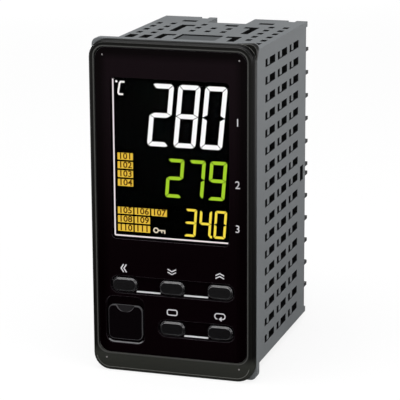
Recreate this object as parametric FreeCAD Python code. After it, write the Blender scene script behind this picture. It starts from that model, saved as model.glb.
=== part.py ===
"""Panel-mounted PID temperature controller, 48 x 96 mm front, screw terminals at the back.

X runs to the right of the front, Y from the front to the terminals and Z up. Depths are
measured from the bezel's front face, heights from the front's bottom edge. The finished
parts are moved so that the origin lies under the middle of the whole unit.
"""
import FreeCAD, Part
import math
import os

os.makedirs("parts", exist_ok=True)

# Front bezel
FRONT_WIDTH = 48.0
FRONT_HEIGHT = 96.0
FRONT_CORNER_RADIUS = 5.0
FRONT_CORNER_FLATS = 8
BEZEL_DEPTH = 2.9
BEZEL_EDGE_RADIUS = 1.3
BEZEL_EDGE_STEPS = 3
RIM_WIDTH = 2.0
CHIN_HEIGHT = 5.6
FACE_RECESS = 0.4
POCKET_BEVEL = 0.35
LEDGE_WIDTH = 1.6
SKIRT_LENGTH = 7.0
SKIRT_WALL = 1.2
KEYING_CORNER_HEIGHT = 4.4
KEYING_CORNER_WIDTH = 6.0
FIT_CLEARANCE = 0.1
STACK_GAP = 0.05

# Fascia, window and display
FASCIA_THICKNESS = 1.6
FASCIA_CORNER_RADIUS = 3.2
WINDOW_LEFT_MARGIN = 4.4
WINDOW_RIGHT_MARGIN = 5.2
WINDOW_TOP = 10.5
WINDOW_ABOVE_KEYS = 11.5
WINDOW_CORNER_RADIUS = 1.2
WINDOW_THICKNESS = 0.8
DISPLAY_INSET = 0.3
DISPLAY_THICKNESS = 1.8
LIGHT_GUIDE_THICKNESS = 3.0
LIGHT_GUIDE_TO_BOARD = 0.9
FRAME_WALL = 1.6
BOARD_THICKNESS = 1.6

# Keys
KEY_WIDTH = 7.4
KEY_HEIGHT = 4.0
KEY_CORNER_RADIUS = 1.8
SMALL_CORNER_FLATS = 5
KEY_EDGE_RADIUS = 0.4
KEY_PROUD = 0.4
KEY_TRAVEL = 0.5
KEY_SIDE_MARGIN = 4.2
KEY_ROW_PITCH = 11.9
LOWER_KEY_HEIGHT = 14.1
KEY_FLANGE_LIP = 0.7
KEY_FLANGE_THICKNESS = 0.7
CHANNEL_DEPTH = 0.9
CHANNEL_MARGIN = 0.6
POST_CLEARANCE = 0.3
POST_RADIUS = 1.7
POST_SIDES = 8
MAT_THICKNESS = 0.8
MAT_NOTCH_GAP = 0.3

# Setup port and its cover
COVER_WIDTH = 10.3
COVER_HEIGHT = 10.2
COVER_THICKNESS = 0.85
COVER_CORNER_RADIUS = 1.7
COVER_BEVEL = 0.2
COVER_BOTTOM = 9.6
PORT_SIDE_GAP = 0.65
PORT_BOTTOM_GAP = 1.1
PORT_FINGER_GAP = 2.7
PORT_WIDTH = 8.6
PORT_HEIGHT = 7.0
PORT_WALL = 0.9
PLUG_WALL = 0.7
PLUG_LENGTH = 2.2
SOCKET_HEIGHT = 1.5
SOCKET_MARGIN = 1.2
SCOOP_RADIUS = 2.9
SCOOP_RISE = 0.9
SCOOP_DEPTH = 0.55

# Case
SEAL_THICKNESS = 0.6
SEAL_INSET = 0.5
FLANGE_THICKNESS = 2.7
FLANGE_CORNER_RADIUS = 1.9
FLANGE_SIDE_LIP = 1.6
FLANGE_END_LIP = 2.5
BODY_DEPTH = 58.0
CASE_WALL = 1.6

# Vents in the sides: a slit and a wide opening, joined under the tongue between them
VENT_HEIGHT = 2.3
VENT_SLIT = 2.4
VENT_TONGUE = 2.0
VENT_WIDE = 6.0
VENT_TONGUE_GAP = 0.35
VENT_PITCH = 5.05
VENT_COLUMN_PITCH = 13.0
VENT_START = 11.2
VENT_END_MARGIN = 3.8

# Vents in the top and the bottom, in columns; starts are measured from the rear
HOLE_WIDTH = 1.7
HOLE_LENGTH = 3.4
HOLE_PITCH = 6.0
HOLE_START = 13.0
COLUMN_EDGE = 2.8
COLUMN_PITCH = 4.4
CENTRE_COLUMN_X = -0.75
CENTRE_COLUMN_PITCH = 4.75
LEFT_ROWS = 4
RIGHT_ROWS = 6
CENTRE_ROWS = 3
WIDE_HOLE_WIDTH = 2.8
WIDE_HOLE_LENGTH = 9.4

# Bracket slots, label pocket and notches in the top and the bottom
SLOT_WIDTH = 2.3
SLOT_LENGTH = 13.2
SLOT_FOOT = 2.1
SLOT_FOOT_LENGTH = 2.8
SLOT_FROM_COLUMN = 4.35
REAR_SLOT_START = 15.8
FRONT_SLOT_START = 34.0
REAR_SLIT_WIDTH = 4.6
REAR_SLIT_LENGTH = 3.0
REAR_SLIT_START = 7.0
CENTRE_SLIT_X = 2.95
CENTRE_SLIT_WIDTH = 4.0
LABEL_MARGIN = 1.3
LABEL_LENGTH = 11.5
LABEL_DEPTH = 0.5
LABEL_START = 33.2
NOTCH_WIDTH = 12.0
NOTCH_DEPTH = 10.0
STEP_WIDTH = 2.5
STEP_DEPTH = 2.5
LEFT_STEP_EDGE = 12.8
RIGHT_STEP_EDGE = 4.6
LATCH_LENGTH = 3.7
LATCH_HEIGHT = 4.6
LATCH_FROM_REAR = 4.0
LATCH_CLEARANCE = 0.3
SIDE_SETBACK = 1.6
CUT_OVERRUN = 1.0

# Terminal block
TERMINAL_PITCH = 7.1
TERMINAL_GROUP_GAP = 2.9
TERMINAL_STAND_OUT = 2.3
BARRIER_THICKNESS = 1.0
BARRIER_SLOPE = 2.0
EAR_SLOPE = 0.6
BLOCK_DEPTH = 12.0
BLOCK_FLOOR = 3.0
BLOCK_WALL = 0.6
BLOCK_SETBACK = 1.0
SPINE_WALL = 1.0
PLATE_LENGTH = 9.6
PLATE_WIDTH = 5.2
PLATE_THICKNESS = 0.8
LEG_WIDTH = 2.6
SCREW_RADIUS = 1.45
SCREW_SIDES = 6
SCREW_LENGTH = 3.2
SCREW_HEAD_RADIUS = 2.6
SCREW_HEAD_SIDES = 8
SCREW_HEAD_HEIGHT = 1.8
SCREW_CLEARANCE = 0.08
SLOT_CLEARANCE = 0.3
WASHER_SIZE = 5.4
WASHER_THICKNESS = 0.6

# Boards and what stands on them
BOARD_GAP = 0.3
SIDE_BOARD_TO_WALL = 5.5
SIDE_BOARD_MARGIN = 3.5
SIDE_BOARD_LEAD = 1.2
CORE_LENGTH = 19.0
CORE_WIDTH = 12.0
CORE_HEIGHT = 17.0
CORE_YOKE = 3.0
COIL_BULGE = 2.0
RELAY_LENGTH = 18.0
RELAY_WIDTH = 10.0
RELAY_HEIGHT = 15.0
CAPACITOR_RADIUS = 5.0
CAPACITOR_LENGTH = 16.0
CHIP_SIZE = 12.0
CHIP_THICKNESS = 1.5
HEADER_LENGTH = 20.0
HEADER_WIDTH = 2.6
HEADER_DEPTH = 4.0

# Depths, widths and heights that follow
FASCIA_REAR = FACE_RECESS + FASCIA_THICKNESS
FLANGE_FRONT = BEZEL_DEPTH + SEAL_THICKNESS
FLANGE_REAR = FLANGE_FRONT + FLANGE_THICKNESS
CASE_REAR = FLANGE_REAR + BODY_DEPTH
SIDE_REAR = CASE_REAR - SIDE_SETBACK
OVERALL_DEPTH = CASE_REAR + TERMINAL_STAND_OUT
MID_HEIGHT = FRONT_HEIGHT / 2
BODY_WIDTH = FRONT_WIDTH - 2 * FLANGE_SIDE_LIP
BODY_HEIGHT = FRONT_HEIGHT - 2 * FLANGE_END_LIP
BORE_WIDTH = BODY_WIDTH - 2 * CASE_WALL
BORE_HEIGHT = BODY_HEIGHT - 2 * CASE_WALL
FASCIA_WIDTH = FRONT_WIDTH - 2 * RIM_WIDTH
FASCIA_HEIGHT = FRONT_HEIGHT - RIM_WIDTH - CHIN_HEIGHT
FASCIA_MID = CHIN_HEIGHT + FASCIA_HEIGHT / 2
CHANNEL_FLOOR = FACE_RECESS + CHANNEL_DEPTH
KEY_PITCH = (FASCIA_WIDTH - KEY_WIDTH) / 2 - KEY_SIDE_MARGIN
KEYS_TOP = LOWER_KEY_HEIGHT + KEY_ROW_PITCH + KEY_HEIGHT / 2
KEY_FLANGE_FRONT = FASCIA_REAR + STACK_GAP
KEY_FLANGE_REAR = KEY_FLANGE_FRONT + KEY_FLANGE_THICKNESS
WINDOW_WIDTH = FASCIA_WIDTH - WINDOW_LEFT_MARGIN - WINDOW_RIGHT_MARGIN
WINDOW_HEIGHT = FRONT_HEIGHT - WINDOW_TOP - WINDOW_ABOVE_KEYS - KEYS_TOP
WINDOW_OFFSET = (WINDOW_LEFT_MARGIN - WINDOW_RIGHT_MARGIN) / 2
WINDOW_MID = FRONT_HEIGHT - WINDOW_TOP - WINDOW_HEIGHT / 2
DISPLAY_WIDTH = WINDOW_WIDTH - 2 * DISPLAY_INSET
DISPLAY_HEIGHT = WINDOW_HEIGHT - 2 * DISPLAY_INSET
DISPLAY_FRONT = FACE_RECESS + WINDOW_THICKNESS + STACK_GAP
LIGHT_GUIDE_FRONT = DISPLAY_FRONT + DISPLAY_THICKNESS + STACK_GAP
FRONT_BOARD_FACE = LIGHT_GUIDE_FRONT + LIGHT_GUIDE_THICKNESS + LIGHT_GUIDE_TO_BOARD
FRONT_BOARD_REAR = FRONT_BOARD_FACE + BOARD_THICKNESS
PORT_X = -KEY_PITCH
PORT_Z = COVER_BOTTOM + COVER_HEIGHT / 2
OUTER_COLUMN = BODY_WIDTH / 2 - COLUMN_EDGE
INNER_COLUMN = OUTER_COLUMN - COLUMN_PITCH
SLOT_CENTRE = INNER_COLUMN - SLOT_FROM_COLUMN
BLOCK_FRONT = CASE_REAR - BLOCK_DEPTH
BLOCK_FACE = BLOCK_FRONT + BLOCK_FLOOR
REAR_BOARD_REAR = BLOCK_FRONT - BOARD_GAP
REAR_BOARD_FRONT = REAR_BOARD_REAR - BOARD_THICKNESS


def span(centre, size):
    """The two ends of a size laid about its centre."""
    return centre - size / 2, centre + size / 2


def block(x, y, z):
    """A box between two ends along each axis."""
    corner = FreeCAD.Vector(x[0], y[0], z[0])
    return Part.makeBox(x[1] - x[0], y[1] - y[0], z[1] - z[0], corner)


def corners(width, height, y, radius, steps, x, z):
    """The points round each corner of a rectangle with round corners, in this many steps to a corner."""
    for quarter, (side, up) in enumerate([(1, 1), (-1, 1), (-1, -1), (1, -1)]):
        centre = FreeCAD.Vector(x + side * (width / 2 - radius), y, z + up * (height / 2 - radius))
        turns = [math.pi / 2 * (quarter + i / steps) for i in range(steps + 1)]
        yield [centre + FreeCAD.Vector(radius * math.cos(a), 0, radius * math.sin(a)) for a in turns]


def outline(width, height, y, radius, x=0.0, z=MID_HEIGHT, flats=0):
    """The wire of a rectangle with round corners, seen from the front: arcs, or so many flats to a corner."""
    if flats:
        points = [p for corner in corners(width, height, y, radius, flats, x, z) for p in corner]
        return Part.makePolygon(points + points[:1])
    edges, ends = [], []
    for points in corners(width, height, y, radius, 2, x, z):
        edges.append(Part.Arc(*points).toShape())
        ends.append((points[0], points[2]))
    for i, (start, finish) in enumerate(ends):
        following = ends[(i + 1) % 4][0]
        if finish.distanceToPoint(following) > 1e-6:
            edges.append(Part.makeLine(finish, following))
    return Part.Wire(Part.__sortEdges__(edges))


def plate(width, height, y, radius, x=0.0, z=MID_HEIGHT, flats=0):
    """A rectangle with round corners, from y[0] back to y[1]."""
    face = Part.Face(outline(width, height, y[0], radius, x, z, flats))
    return face.extrude(FreeCAD.Vector(0, y[1] - y[0], 0))


def prism(sides, radius, y, x, z):
    """A regular prism along the depth, from y[0] back to y[1]."""
    turns = [2 * math.pi * (i + 0.5) / sides for i in range(sides + 1)]
    corners = [FreeCAD.Vector(x + radius * math.cos(a), y[0], z + radius * math.sin(a)) for a in turns]
    return Part.Face(Part.makePolygon(corners)).extrude(FreeCAD.Vector(0, y[1] - y[0], 0))


def eased_plate(width, height, y, radius, edge, steps, x=0.0, z=MID_HEIGHT, flats=0):
    """A plate whose front edge is rounded over by a radius of its own, in a number of flats."""
    wires = []
    for i in range(steps + 1):
        turn = math.pi / 2 * i / steps
        inset = edge * (1 - math.sin(turn))
        depth = y[0] + edge * (1 - math.cos(turn))
        wires.append(outline(width - 2 * inset, height - 2 * inset, depth, radius - inset, x, z, flats))
    wires.append(outline(width, height, y[1], radius, x, z, flats))
    return Part.makeLoft(wires, True, True)


# Bezel: the black frame with the chin, and the skirt that plugs into the case

def keying_corner(clearance):
    """The wedge at the flange's top right corner that the bezel's tongue fills."""
    right, top = FRONT_WIDTH / 2, FRONT_HEIGHT
    reach = FLANGE_THICKNESS + clearance
    corner = FreeCAD.Vector(right, FLANGE_FRONT, top)
    inward = FreeCAD.Vector(right - KEYING_CORNER_WIDTH - clearance, FLANGE_FRONT, top)
    down = FreeCAD.Vector(right, FLANGE_FRONT, top - KEYING_CORNER_HEIGHT - clearance)
    back = FreeCAD.Vector(right, FLANGE_FRONT + reach, top)
    loops = [(corner, inward, down), (corner, down, back), (corner, back, inward), (inward, back, down)]
    faces = [Part.Face(Part.makePolygon([p, q, r, p])) for p, q, r in loops]
    return Part.makeSolid(Part.makeShell(faces))


def make_bezel():
    rim = eased_plate(FRONT_WIDTH, FRONT_HEIGHT, (0, BEZEL_DEPTH), FRONT_CORNER_RADIUS,
                      BEZEL_EDGE_RADIUS, BEZEL_EDGE_STEPS, flats=FRONT_CORNER_FLATS)
    pocket = plate(FASCIA_WIDTH, FASCIA_HEIGHT, (0, FASCIA_REAR), FASCIA_CORNER_RADIUS, 0.0, FASCIA_MID,
                   FRONT_CORNER_FLATS)
    flare = Part.makeLoft([outline(FASCIA_WIDTH + 2 * bevel, FASCIA_HEIGHT + 2 * bevel, POCKET_BEVEL - bevel,
                                   FASCIA_CORNER_RADIUS + bevel, 0.0, FASCIA_MID, FRONT_CORNER_FLATS)
                           for bevel in (POCKET_BEVEL, 0)], True, True)
    throat = plate(FASCIA_WIDTH - 2 * LEDGE_WIDTH, FASCIA_HEIGHT - 2 * LEDGE_WIDTH, (0, BEZEL_DEPTH),
                   FASCIA_CORNER_RADIUS - LEDGE_WIDTH, z=FASCIA_MID)
    skirt_y = (BEZEL_DEPTH, BEZEL_DEPTH + SKIRT_LENGTH)
    skirt_width, skirt_height = BORE_WIDTH - 2 * FIT_CLEARANCE, BORE_HEIGHT - 2 * FIT_CLEARANCE
    skirt = block(span(0, skirt_width), skirt_y, span(MID_HEIGHT, skirt_height))
    skirt = skirt.cut(block(span(0, skirt_width - 2 * SKIRT_WALL), skirt_y,
                            span(MID_HEIGHT, skirt_height - 2 * SKIRT_WALL)))
    flange_outline = plate(FRONT_WIDTH, FRONT_HEIGHT, (BEZEL_DEPTH, FLANGE_REAR), FLANGE_CORNER_RADIUS)
    tongue = keying_corner(0).fuse(keying_root()).common(flange_outline)
    return rim.cut([pocket, flare, throat]).fuse([skirt, tongue]).removeSplitter()


def keying_root():
    """The triangle seen from the front that joins the tongue to the bezel."""
    right, top = FRONT_WIDTH / 2, FRONT_HEIGHT
    corner = FreeCAD.Vector(right, BEZEL_DEPTH, top)
    inward = FreeCAD.Vector(right - KEYING_CORNER_WIDTH, BEZEL_DEPTH, top)
    down = FreeCAD.Vector(right, BEZEL_DEPTH, top - KEYING_CORNER_HEIGHT)
    wire = Part.makePolygon([corner, inward, down, corner])
    return Part.Face(wire).extrude(FreeCAD.Vector(0, SEAL_THICKNESS, 0))


def make_seal():
    y = (BEZEL_DEPTH, FLANGE_FRONT)
    ring = plate(FRONT_WIDTH - 2 * SEAL_INSET, FRONT_HEIGHT - 2 * SEAL_INSET, y, FRONT_CORNER_RADIUS)
    return ring.cut([block(span(0, BORE_WIDTH), y, span(MID_HEIGHT, BORE_HEIGHT)), keying_root()])


# Fascia: the gloss face with the window, the key channels and the port recess

KEY_PLACES = {"shift_key": (-1, 1), "down_key": (0, 1), "up_key": (1, 1),
              "level_key": (0, 0), "mode_key": (1, 0)}


def key_centre(place):
    column, row = place
    return column * KEY_PITCH, LOWER_KEY_HEIGHT + row * KEY_ROW_PITCH


def make_fascia():
    solid = plate(FASCIA_WIDTH - 2 * FIT_CLEARANCE, FASCIA_HEIGHT - 2 * FIT_CLEARANCE,
                  (FACE_RECESS, FASCIA_REAR), FASCIA_CORNER_RADIUS - FIT_CLEARANCE, 0.0, FASCIA_MID,
                  FRONT_CORNER_FLATS)
    collar = block(span(PORT_X, PORT_WIDTH + 2 * PORT_WALL), (FASCIA_REAR, FRONT_BOARD_FACE - FIT_CLEARANCE),
                   span(PORT_Z, PORT_HEIGHT + 2 * PORT_WALL))
    cuts = [plate(WINDOW_WIDTH + 2 * FIT_CLEARANCE, WINDOW_HEIGHT + 2 * FIT_CLEARANCE, (0, FASCIA_REAR),
                  WINDOW_CORNER_RADIUS, WINDOW_OFFSET, WINDOW_MID)]
    open_y = (0, CHANNEL_FLOOR)
    for row, columns in ((1, 3), (0, 2)):
        width = (columns - 1) * KEY_PITCH + KEY_WIDTH + 2 * CHANNEL_MARGIN
        middle, level = KEY_PITCH * (3 - columns) / 2, key_centre((0, row))[1]
        cuts.append(plate(width, KEY_HEIGHT + 2 * CHANNEL_MARGIN, open_y,
                          KEY_CORNER_RADIUS + CHANNEL_MARGIN, middle, level, SMALL_CORNER_FLATS))
    for place in KEY_PLACES.values():
        x, z = key_centre(place)
        cuts.append(plate(KEY_WIDTH + 2 * FIT_CLEARANCE, KEY_HEIGHT + 2 * FIT_CLEARANCE, (0, FASCIA_REAR),
                          KEY_CORNER_RADIUS + FIT_CLEARANCE, x, z, SMALL_CORNER_FLATS))
    recess_bottom = COVER_BOTTOM - PORT_BOTTOM_GAP
    recess_height = PORT_BOTTOM_GAP + COVER_HEIGHT + PORT_FINGER_GAP
    cuts.append(plate(COVER_WIDTH + 2 * PORT_SIDE_GAP, recess_height, open_y,
                      COVER_CORNER_RADIUS + PORT_SIDE_GAP, PORT_X, recess_bottom + recess_height / 2,
                      SMALL_CORNER_FLATS))
    cuts.append(block(span(PORT_X, PORT_WIDTH), (0, FRONT_BOARD_FACE), span(PORT_Z, PORT_HEIGHT)))
    return solid.fuse(collar).cut(cuts)


def make_window():
    return plate(WINDOW_WIDTH, WINDOW_HEIGHT, (FACE_RECESS, FACE_RECESS + WINDOW_THICKNESS),
                 WINDOW_CORNER_RADIUS - FIT_CLEARANCE, WINDOW_OFFSET, WINDOW_MID)


# Display stack behind the window

def make_display_panel():
    y = (DISPLAY_FRONT, DISPLAY_FRONT + DISPLAY_THICKNESS)
    return block(span(WINDOW_OFFSET, DISPLAY_WIDTH), y, span(WINDOW_MID, DISPLAY_HEIGHT))


def make_light_guide():
    y = (LIGHT_GUIDE_FRONT, LIGHT_GUIDE_FRONT + LIGHT_GUIDE_THICKNESS)
    return block(span(WINDOW_OFFSET, DISPLAY_WIDTH), y, span(WINDOW_MID, DISPLAY_HEIGHT))


def make_display_frame():
    y = (FASCIA_REAR + STACK_GAP, FRONT_BOARD_FACE)
    width, height = DISPLAY_WIDTH + 2 * STACK_GAP, DISPLAY_HEIGHT + 2 * STACK_GAP
    frame = block(span(WINDOW_OFFSET, width + 2 * FRAME_WALL), y, span(WINDOW_MID, height + 2 * FRAME_WALL))
    return frame.cut(block(span(WINDOW_OFFSET, width), y, span(WINDOW_MID, height)))


def make_display_board():
    width = BORE_WIDTH - 2 * (FIT_CLEARANCE + SKIRT_WALL) - 2 * BOARD_GAP
    height = BORE_HEIGHT - 2 * (FIT_CLEARANCE + SKIRT_WALL) - 2 * BOARD_GAP
    return block(span(0, width), (FRONT_BOARD_FACE, FRONT_BOARD_REAR), span(MID_HEIGHT, height))


# Keys and the rubber mat that returns them

def make_key(place):
    x, z = key_centre(place)
    cap = eased_plate(KEY_WIDTH, KEY_HEIGHT, (FACE_RECESS - KEY_PROUD, KEY_FLANGE_FRONT), KEY_CORNER_RADIUS,
                      KEY_EDGE_RADIUS, 1, x, z, SMALL_CORNER_FLATS)
    flange = block(span(x, KEY_WIDTH + 2 * KEY_FLANGE_LIP), (KEY_FLANGE_FRONT, KEY_FLANGE_REAR),
                   span(z, KEY_HEIGHT + 2 * KEY_FLANGE_LIP))
    return cap.fuse(flange)


def make_key_mat():
    left, right = -KEY_PITCH - KEY_WIDTH / 2, KEY_PITCH + KEY_WIDTH / 2
    bottom = LOWER_KEY_HEIGHT - KEY_HEIGHT / 2
    y = (FRONT_BOARD_FACE - MAT_THICKNESS, FRONT_BOARD_FACE)
    notch = block((left, PORT_X + PORT_WIDTH / 2 + PORT_WALL + MAT_NOTCH_GAP), y,
                  (bottom, PORT_Z + PORT_HEIGHT / 2 + PORT_WALL + MAT_NOTCH_GAP))
    post_y = (KEY_FLANGE_REAR + KEY_TRAVEL + POST_CLEARANCE, y[0])
    posts = []
    for place in KEY_PLACES.values():
        x, z = key_centre(place)
        posts.append(prism(POST_SIDES, POST_RADIUS, post_y, x, z))
    return block((left, right), y, (bottom, KEYS_TOP)).cut(notch).fuse(posts)


# Setup port: the cover that pulls off, and the socket behind it

def make_port_cover():
    rear = CHANNEL_FLOOR - STACK_GAP
    front = rear - COVER_THICKNESS
    lid = eased_plate(COVER_WIDTH, COVER_HEIGHT, (front, rear), COVER_CORNER_RADIUS, COVER_BEVEL, 1,
                      PORT_X, PORT_Z, SMALL_CORNER_FLATS)
    top = COVER_BOTTOM + COVER_HEIGHT
    scoop_centre = FreeCAD.Vector(PORT_X, front, top + SCOOP_RISE)
    disc = Part.makeCylinder(SCOOP_RADIUS, SCOOP_DEPTH, scoop_centre, FreeCAD.Vector(0, 1, 0))
    slope = [(front, scoop_centre.z - SCOOP_RADIUS), (front + SCOOP_DEPTH, top),
             (front + SCOOP_DEPTH, top + SCOOP_RADIUS), (front, top + SCOOP_RADIUS)]
    corners_of_slope = [FreeCAD.Vector(PORT_X - SCOOP_RADIUS, y, z) for y, z in slope + slope[:1]]
    wedge = Part.Face(Part.makePolygon(corners_of_slope)).extrude(FreeCAD.Vector(2 * SCOOP_RADIUS, 0, 0))
    scoop = disc.common(wedge)
    plug_y = (rear, rear + PLUG_LENGTH)
    width, height = PORT_WIDTH - 2 * FIT_CLEARANCE, PORT_HEIGHT - 2 * FIT_CLEARANCE
    plug = block(span(PORT_X, width), plug_y, span(PORT_Z, height))
    plug = plug.cut(block(span(PORT_X, width - 2 * PLUG_WALL), plug_y, span(PORT_Z, height - 2 * PLUG_WALL)))
    return lid.cut(scoop).fuse(plug)


def make_port_socket():
    y = (FRONT_BOARD_FACE - SOCKET_HEIGHT, FRONT_BOARD_FACE)
    width, height = PORT_WIDTH - 2 * SOCKET_MARGIN, PORT_HEIGHT - 2 * SOCKET_MARGIN
    return block(span(PORT_X, width), y, span(PORT_Z, height))


# Case: one moulding with the flange, the body and every vent in it

def vent(start, bottom):
    """The cutter of one side vent: two openings joined by a thin gap under the tongue."""
    tongue = (start + VENT_SLIT, start + VENT_SLIT + VENT_TONGUE)
    end, top, gap_top = tongue[1] + VENT_WIDE, bottom + VENT_HEIGHT, bottom + VENT_TONGUE_GAP
    points = [(start, bottom), (end, bottom), (end, top), (tongue[1], top), (tongue[1], gap_top),
              (tongue[0], gap_top), (tongue[0], top), (start, top), (start, bottom)]
    inner = BODY_WIDTH / 2 - CASE_WALL - CUT_OVERRUN
    wire = Part.makePolygon([FreeCAD.Vector(inner, y, z) for y, z in points])
    return Part.Face(wire).extrude(FreeCAD.Vector(CASE_WALL + 2 * CUT_OVERRUN, 0, 0))


def side_vents():
    """The cutters of one side's vents, in as many rows and columns as the side has room for."""
    length = VENT_SLIT + VENT_TONGUE + VENT_WIDE
    rows = 1 + int((BODY_HEIGHT - 2 * VENT_END_MARGIN - VENT_HEIGHT) / VENT_PITCH)
    columns = 1 + int((BODY_DEPTH - VENT_START - LATCH_FROM_REAR - LATCH_LENGTH - length) / VENT_COLUMN_PITCH)
    lowest = MID_HEIGHT - ((rows - 1) * VENT_PITCH + VENT_HEIGHT) / 2
    return [vent(FLANGE_REAR + VENT_START + column * VENT_COLUMN_PITCH, lowest + row * VENT_PITCH)
            for column in range(columns) for row in range(rows)]


def roof_openings():
    """The cutters of the top face: vents, bracket slots, label pocket and rear notches."""
    roof = MID_HEIGHT + BODY_HEIGHT / 2
    through = (roof - CASE_WALL - CUT_OVERRUN, roof + CUT_OVERRUN)

    def opening(x, start, length, z=through):
        return block(x, (CASE_REAR - start - length, CASE_REAR - start), z)

    columns = [(-OUTER_COLUMN, 0, LEFT_ROWS), (-INNER_COLUMN, 0, LEFT_ROWS),
               (INNER_COLUMN, 0, RIGHT_ROWS), (OUTER_COLUMN, 0, RIGHT_ROWS),
               (CENTRE_COLUMN_X - CENTRE_COLUMN_PITCH, 0, CENTRE_ROWS), (CENTRE_COLUMN_X, 1, CENTRE_ROWS),
               (CENTRE_COLUMN_X + CENTRE_COLUMN_PITCH, 1, CENTRE_ROWS)]
    cutters = [opening(span(x, HOLE_WIDTH), HOLE_START + row * HOLE_PITCH, HOLE_LENGTH)
               for x, first, end in columns for row in range(first, end)]
    wide_start = HOLE_START + LEFT_ROWS * HOLE_PITCH
    for x in (-OUTER_COLUMN, -INNER_COLUMN):
        cutters.append(opening(span(x, WIDE_HOLE_WIDTH), wide_start, WIDE_HOLE_LENGTH))
    foot_reach = SLOT_CENTRE - SLOT_WIDTH / 2 - SLOT_FOOT
    for side in (-1, 1):
        for start in (REAR_SLOT_START, FRONT_SLOT_START):
            slot = opening(span(side * SLOT_CENTRE, SLOT_WIDTH), start, SLOT_LENGTH)
            foot = opening(sorted((side * SLOT_CENTRE, side * foot_reach)), start, SLOT_FOOT_LENGTH)
            cutters.append(slot.fuse(foot).removeSplitter())
        slit_centre = side * (SLOT_CENTRE + SLOT_WIDTH / 2)
        cutters.append(opening(span(slit_centre, REAR_SLIT_WIDTH), REAR_SLIT_START, REAR_SLIT_LENGTH))
    cutters.append(opening(span(CENTRE_SLIT_X, CENTRE_SLIT_WIDTH), HOLE_START, REAR_SLIT_LENGTH))
    label_x = span(0, 2 * (foot_reach - LABEL_MARGIN))
    cutters.append(opening(label_x, LABEL_START, LABEL_LENGTH, (roof - LABEL_DEPTH, roof + CUT_OVERRUN)))
    cutters.append(opening(span(0, NOTCH_WIDTH), -CUT_OVERRUN, NOTCH_DEPTH + CUT_OVERRUN))
    for x in (LEFT_STEP_EDGE - BODY_WIDTH / 2, BODY_WIDTH / 2 - RIGHT_STEP_EDGE):
        cutters.append(opening(span(x, STEP_WIDTH), -CUT_OVERRUN, STEP_DEPTH + CUT_OVERRUN))
    return cutters


def latch_window():
    wall = (BODY_WIDTH / 2 - CASE_WALL - CUT_OVERRUN, BODY_WIDTH / 2 + CUT_OVERRUN)
    y = (CASE_REAR - LATCH_FROM_REAR - LATCH_LENGTH, CASE_REAR - LATCH_FROM_REAR)
    return block(wall, y, span(MID_HEIGHT, LATCH_HEIGHT))


def side_setback():
    """The strip cut from a side wall's rear edge, where the barriers' ears come out."""
    wall = (BODY_WIDTH / 2 - CASE_WALL - CUT_OVERRUN, BODY_WIDTH / 2 + CUT_OVERRUN)
    return block(wall, (SIDE_REAR, CASE_REAR + CUT_OVERRUN), span(MID_HEIGHT, BORE_HEIGHT))


def mirrored(shapes, normal):
    """Copies on the other side of the case's middle."""
    return [s.mirror(FreeCAD.Vector(0, 0, MID_HEIGHT), normal) for s in shapes]


def make_case():
    flange = plate(FRONT_WIDTH, FRONT_HEIGHT, (FLANGE_FRONT, FLANGE_REAR), FLANGE_CORNER_RADIUS)
    body = block(span(0, BODY_WIDTH), (FLANGE_REAR, CASE_REAR), span(MID_HEIGHT, BODY_HEIGHT))
    bore = block(span(0, BORE_WIDTH), (FLANGE_FRONT, CASE_REAR), span(MID_HEIGHT, BORE_HEIGHT))
    shell = flange.fuse(body).cut([bore, keying_corner(FIT_CLEARANCE)])
    right = side_vents() + [latch_window(), side_setback()]
    roof = roof_openings()
    across, over = FreeCAD.Vector(1, 0, 0), FreeCAD.Vector(0, 0, 1)
    return shell.cut(right + mirrored(right, across) + roof + mirrored(roof, over))


# Terminal block: two columns of screw terminals between barriers

COLUMN_INNER = NOTCH_WIDTH / 2 + SPINE_WALL
COLUMN_OUTER = BORE_WIDTH / 2 - FIT_CLEARANCE
WALL_REAR = CASE_REAR - BLOCK_SETBACK
WASHER_SEAT = BLOCK_FACE + PLATE_THICKNESS
HEAD_SEAT = WASHER_SEAT + WASHER_THICKNESS
SCREW_END = HEAD_SEAT - SCREW_LENGTH
COLUMN_MID = (COLUMN_INNER + COLUMN_OUTER - BLOCK_WALL) / 2
BLOCK_HALF_HEIGHT = BORE_HEIGHT / 2 - FIT_CLEARANCE
GROUP_SIZE = int((BLOCK_HALF_HEIGHT - TERMINAL_GROUP_GAP / 2 + BARRIER_THICKNESS / 2) / TERMINAL_PITCH)


def terminal_centres():
    """Centres of all the terminals, as (side, x, z), upper group first."""
    centres = []
    for side in (-1, 1):
        for half in (1, -1):
            for i in range(GROUP_SIZE):
                offset = TERMINAL_GROUP_GAP / 2 + (i + 0.5) * TERMINAL_PITCH
                centres.append((side, side * COLUMN_MID, MID_HEIGHT + half * offset))
    return centres


def barrier(side, z):
    """One fin between two terminals, with an ear that reaches out over the case's side wall."""
    inner, outer = side * COLUMN_INNER, side * (COLUMN_OUTER - FIT_CLEARANCE)
    tip_inner, tip_outer = inner + side * BARRIER_SLOPE, outer - side * BARRIER_SLOPE
    ear, ear_front = side * (BODY_WIDTH / 2 - FIT_CLEARANCE), SIDE_REAR + FIT_CLEARANCE
    points = [(inner, BLOCK_FACE), (inner, WALL_REAR), (tip_inner, OVERALL_DEPTH), (tip_outer, OVERALL_DEPTH),
              (ear, OVERALL_DEPTH - EAR_SLOPE), (ear, ear_front), (outer, ear_front), (outer, BLOCK_FACE),
              (inner, BLOCK_FACE)]
    wire = Part.makePolygon([FreeCAD.Vector(x, y, z - BARRIER_THICKNESS / 2) for x, y in points])
    return Part.Face(wire).extrude(FreeCAD.Vector(0, 0, BARRIER_THICKNESS))


def leg_end(side, x):
    """The face of a terminal's leg that is nearest to the middle of the unit."""
    return x - side * PLATE_LENGTH / 2


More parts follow.
